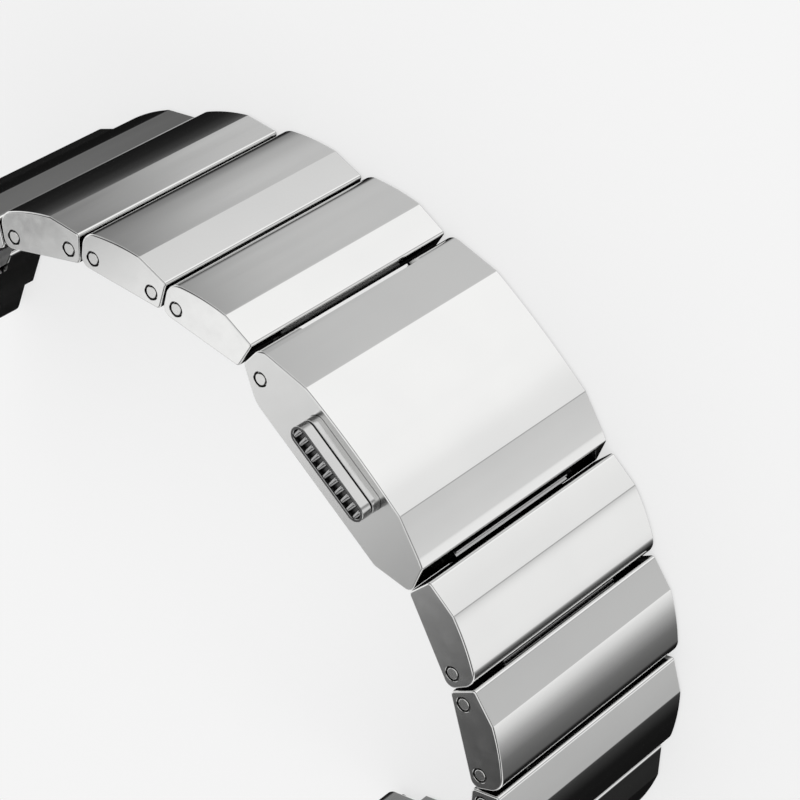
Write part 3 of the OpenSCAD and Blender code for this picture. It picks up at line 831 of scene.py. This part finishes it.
def ribs():
    """The ribs side by side, the outer ones shorter where the field's ends are round."""
    made = []
    middle = (BUTTON_X0 + BUTTON_X1) / 2
    for i in range(RIB_COUNT):
        x = middle + (i - (RIB_COUNT - 1) / 2) * RIB_PITCH
        past = max(0, abs(x - middle) - (BUTTON_X1 - BUTTON_X0) / 2)
        half_l = math.sqrt((BUTTON_R - CAP_RIM_W) ** 2 - past ** 2) - RIB_END_GAP
        made.append(plus(rib(x, half_l)))
    return made


def cap_slot(spot, normal):
    """The rim's front and the field's ground are painted near-black as shade, the ribs painted grey as a
    shaded copy of the cap's steel, and the rest pale.
    """
    nearest = min(max(spot.x, BUTTON_X0), BUTTON_X1)
    inside_rim = math.hypot(spot.x - nearest, spot.y - BUTTON_Y) < BUTTON_R - RIM_WALL
    if spot.z > CAP_OUT - RIM_FRONT:
        return 2
    if spot.z <= CAP_FIELD - HAIR or not inside_rim:
        return 0
    on_rib = spot.z > CAP_FIELD + RIB_BASE and math.hypot(normal.x, normal.z) > RIB_SIDEWAYS
    return 1 if on_rib else 2


def button_cap():
    """Cap with a narrow rim round its sunk field, and the ribs across the field."""
    wide, middle = CAP_EDGE
    inner_rim = [
        (wide - CAP_RIM_W, CAP_OUT),
        (CAP_INNER_MIDDLE - CAP_RIM_W, CAP_OUT - middle),
        (-CAP_RIM_W, CAP_OUT - wide),
        (-CAP_RIM_W, CAP_FIELD),
    ]
    profile = foot_rim(0, CAP_IN, CAP_FOOT_EDGE) + rim(0, CAP_OUT, CAP_EDGE) + inner_rim
    mesh = shade(carved(button_loft(profile), ribs(), "button_cap"), CAP_CREASE)
    return painted(mesh, ("button_steel", "button_rib_steel_painted_shade", "button_field_painted_shade"), cap_slot)


add("push_button_polished", push_button(), CLASP_PLACE, "button", "button_steel", "push_button")
add("button_cap_ribbed", button_cap(), CLASP_PLACE, "button", "button_steel", "button_cap")

# CAD nodes that stay, each with its steel and the width of its broken edges
KEPT = {
    "clasp_base": ("plate_steel", 0.06),
    "base_screws": ("pin_steel", 0.03),
    "catch_spring": ("spring_steel", 0.03),
    "catch_screw": ("pin_steel", 0.03),
    "button_clip": ("spring_steel", 0.03),
}
for side in CHAINS:
    KEPT[side + "_side_spring_bar"] = ("bar_steel", 0.04)
    KEPT[side + "_side_spring_bar_plunger"] = ("bar_steel", 0.03)
    KEPT[side + "_side_spring_bar_coil"] = ("spring_steel", 0)
WELD = 0.002
BEVEL_ANGLE = 50

for name, (slot, width) in KEPT.items():
    obj = NODES[name]
    obj.data.materials.clear()
    obj.data.materials.append(MATERIALS[slot])
    weld = obj.modifiers.new("weld", "WELD")
    weld.merge_threshold = WELD * MM
    if width:
        bevel = obj.modifiers.new("edges", "BEVEL")
        bevel.width = width * MM
        bevel.segments = 2
        bevel.limit_method = "ANGLE"
        bevel.angle_limit = math.radians(BEVEL_ANGLE)
        bevel.harden_normals = True

# Studio

# Rings of pale and grey boards with dark flags between them, as for any polished metal. The lists
# give the edges of the boards, from TURN_START on round: the azimuth in degrees from +X, and how
# pale plain steel shows there, of 255. Between two edges the light runs evenly.
LOW_BOARDS = [
    (100, 100), (80, 20), (50, 26), (30, 36), (20, 60), (16, 92), (12, 88), (4, 165), (-10, 188),
    (-44, 188), (-52, 208), (-58, 230), (-70, 250), (-90, 248), (-97, 200), (-106, 140), (-115, 170),
    (-124, 190), (-128, 230), (-153, 228), (-163, 160), (-172, 105), (-195, 55), (-205, 28), (-250, 24),
    (-259, 100),
]
HIGH_BOARDS = [
    (100, 45), (92, 75), (88, 130), (85, 200), (82, 240), (79, 230), (76, 125), (73, 235), (50, 225),
    (35, 60), (-15, 60), (-40, 200), (-120, 225), (-140, 100), (-165, 50), (-205, 60), (-240, 130),
    (-259, 45),
]
SIDE_BOARDS = [
    (100, 170), (70, 225), (25, 235), (0, 185), (-25, 180), (-50, 230), (-90, 240), (-120, 185),
    (-145, 180), (-165, 225), (-215, 235), (-240, 180), (-259, 170),
]
TURN_START = 100

# How much plain steel reflects, the scale and curve of tones, and the light that dull faces get
STEEL_TONE = 0.88
WHITE, GAMMA = 255, 2.2
OPEN_LIGHT = 0.9

# Tones of a flag in front and of a card low in front
FRONT_FLAG, GREY_CARD = 60, 120

# Bands, each as where it begins, where it is full from and to, and where it ends. They go by the
# height of a direction, from -1 straight down to 1 straight up, and the card's by azimuth. The
# last two pairs are where the card begins in height, and the flag towards the front (-Y).
LOW_BAND = (-0.85, -0.77, -0.55, -0.45)
HIGH_BAND = (0.45, 0.55, 0.78, 0.88)
FLAG_BAND = (0.06, 0.14, 0.46, 0.58)
CARD_BAND = [math.radians(a) for a in (-52, -34, 5, 18)]
CARD_FOOT = (-0.6625, -0.6225)
TO_FRONT = (0.0, -0.3)


def level(tone):
    """Brightness of a board that shows in steel as this tone."""
    return min(1.0, (tone / WHITE) ** GAMMA / STEEL_TONE)


def maths(tree, operation, *values):
    made = node(tree, "ShaderNodeMath", operation=operation)
    for i, value in enumerate(values):
        if isinstance(value, bpy.types.NodeSocket):
            tree.links.new(value, made.inputs[i])
        else:
            made.inputs[i].default_value = value
    return made.outputs["Value"]


def blend(tree, factor, first, second):
    sockets = {"Factor": factor, "A": first, "B": second}
    return node(tree, "ShaderNodeMix", sockets, data_type="FLOAT").outputs["Result"]


def rise(tree, value, start, end):
    """0 before start and 1 past end, with a smooth rise between them."""
    sockets = {"Value": value, "From Min": start, "From Max": end}
    return node(tree, "ShaderNodeMapRange", sockets, interpolation_type="SMOOTHSTEP").outputs["Result"]


def band(tree, value, start, full_from, full_to, end):
    """1 between the two middle values, fading to 0 at the outer two."""
    return maths(tree, "MULTIPLY", rise(tree, value, start, full_from), rise(tree, value, end, full_to))


def ramp(tree, turn, boards):
    """Tone round the studio, from the edges of its boards."""
    made = node(tree, "ShaderNodeValToRGB", {"Fac": turn})
    points = made.color_ramp.elements
    places = [(TURN_START - azimuth) / 360 for azimuth, tone in boards]
    for point, place in zip(points, places):
        point.position = place
    for place in places[len(points):]:
        points.new(place)
    for point, (azimuth, tone) in zip(points, boards):
        light = level(tone)
        point.color = (light, light, light, 1)
    return made.outputs["Color"]


def studio_tones(sky):
    """What polished steel sees in each direction."""
    way = node(sky, "ShaderNodeTexCoord").outputs["Generated"]
    parts = node(sky, "ShaderNodeSeparateXYZ", {"Vector": way})
    height = parts.outputs["Z"]
    azimuth = maths(sky, "ARCTAN2", parts.outputs["Y"], parts.outputs["X"])
    turn = maths(sky, "FRACT", maths(sky, "MULTIPLY_ADD", azimuth, -0.5 / math.pi, TURN_START / 360))
    card = maths(sky, "MULTIPLY", rise(sky, height, *CARD_FOOT), band(sky, azimuth, *CARD_BAND))
    low = blend(sky, card, ramp(sky, turn, LOW_BOARDS), level(GREY_CARD))
    in_front = rise(sky, parts.outputs["Y"], *TO_FRONT)
    flag = maths(sky, "MULTIPLY", in_front, band(sky, height, *FLAG_BAND))
    tones = blend(sky, flag, ramp(sky, turn, SIDE_BOARDS), level(FRONT_FLAG))
    tones = blend(sky, band(sky, height, *LOW_BAND), tones, low)
    return blend(sky, band(sky, height, *HIGH_BAND), tones, ramp(sky, turn, HIGH_BOARDS))


def surround():
    """The world: boards and flags for reflections, even light for all else."""
    world = bpy.context.scene.world or bpy.data.worlds.new("studio")
    bpy.context.scene.world = world
    world.use_nodes = True
    sky = world.node_tree
    sky.nodes.clear()
    rays = node(sky, "ShaderNodeLightPath").outputs
    reflected = maths(sky, "MAXIMUM", rays["Is Glossy Ray"], rays["Is Transmission Ray"])
    strength = blend(sky, reflected, OPEN_LIGHT, studio_tones(sky))
    light = node(sky, "ShaderNodeBackground", {"Color": (1, 1, 1, 1), "Strength": strength})
    node(sky, "ShaderNodeOutputWorld", {"Surface": light.outputs["Background"]})


# Pale floor, with its shadow kept faint; polished faces look past it to the studio
FLOOR_Z, FLOOR_HALF = -0.15, 4000
FLOOR_TONE, FLOOR_GLOW, GLOW_SHARE = 0.9, 0.92, 0.72


def floor_paint():
    material = bpy.data.materials.new("floor")
    material.use_nodes = True
    tree = material.node_tree
    paint = tree.nodes["Principled BSDF"]
    tone = (FLOOR_TONE, FLOOR_TONE, FLOOR_TONE, 1)
    feed(tree, paint, {"Base Color": tone, "Roughness": 1.0, "Specular IOR Level": 0.0})
    glow = node(tree, "ShaderNodeEmission", {"Color": (FLOOR_GLOW, FLOOR_GLOW, FLOOR_GLOW, 1)})
    camera_ray = node(tree, "ShaderNodeLightPath").outputs["Is Camera Ray"]
    mixed = node(tree, "ShaderNodeMixShader", {"Fac": maths(tree, "MULTIPLY", camera_ray, GLOW_SHARE)})
    tree.links.new(paint.outputs["BSDF"], mixed.inputs[1])
    tree.links.new(glow.outputs["Emission"], mixed.inputs[2])
    feed(tree, tree.nodes["Material Output"], {"Surface": mixed.outputs["Shader"]})
    return material


def lay_floor():
    mesh = bpy.data.meshes.new("floor")
    corners = box(-FLOOR_HALF, -FLOOR_HALF, FLOOR_HALF, FLOOR_HALF)
    mesh.from_pydata([(x * MM, y * MM, FLOOR_Z * MM) for x, y in corners], [], [(0, 1, 2, 3)])
    mesh.materials.append(floor_paint())
    floor = bpy.data.objects.new("floor", mesh)
    bpy.context.scene.collection.objects.link(floor)
    floor.visible_glossy = False


def soft_box(name, place, size, watts):
    light = bpy.data.lights.new(name, "AREA")
    light.shape = "SQUARE"
    light.size = size * MM
    light.energy = watts
    obj = bpy.data.objects.new(name, light)
    bpy.context.scene.collection.objects.link(obj)
    obj.location = Vector(place) * MM
    towards_part = Vector((0, 0, HALF_W * MM)) - obj.location
    obj.rotation_euler = towards_part.to_track_quat("-Z", "Y").to_euler()
    obj.visible_glossy = False


surround()
lay_floor()
soft_box("soft_box_left", place=(330, -300, 420), size=260, watts=0.35)
soft_box("soft_box_right", place=(-380, -160, 380), size=220, watts=0.25)

# Camera, fitted to the photograph
CAMERA_AT = Vector((-16.622, -201.418, 175.023)) * MM
RIGHT = Vector((-0.58852, -0.51150, -0.62611))
DOWN = Vector((-0.80542, 0.43831, 0.39898))
AHEAD = Vector((0.07035, 0.73908, -0.66993))
PHOTO_WIDTH_PX, FOCAL_PX, SENSOR_MM = 800, 3066.45, 36.0
CLIP_START, CLIP_END = 0.01, 20


def place_camera():
    data = bpy.data.cameras.new("camera")
    data.sensor_fit = "HORIZONTAL"
    data.sensor_width = SENSOR_MM
    data.lens = FOCAL_PX / PHOTO_WIDTH_PX * SENSOR_MM
    data.clip_start = CLIP_START
    data.clip_end = CLIP_END
    camera = bpy.data.objects.new("camera", data)
    bpy.context.scene.collection.objects.link(camera)
    axes = Matrix((RIGHT, -DOWN, -AHEAD)).transposed()
    camera.matrix_world = Matrix.Translation(CAMERA_AT) @ axes.to_4x4()
    bpy.context.scene.camera = camera
    bpy.context.scene.view_settings.view_transform = "Standard"


place_camera()
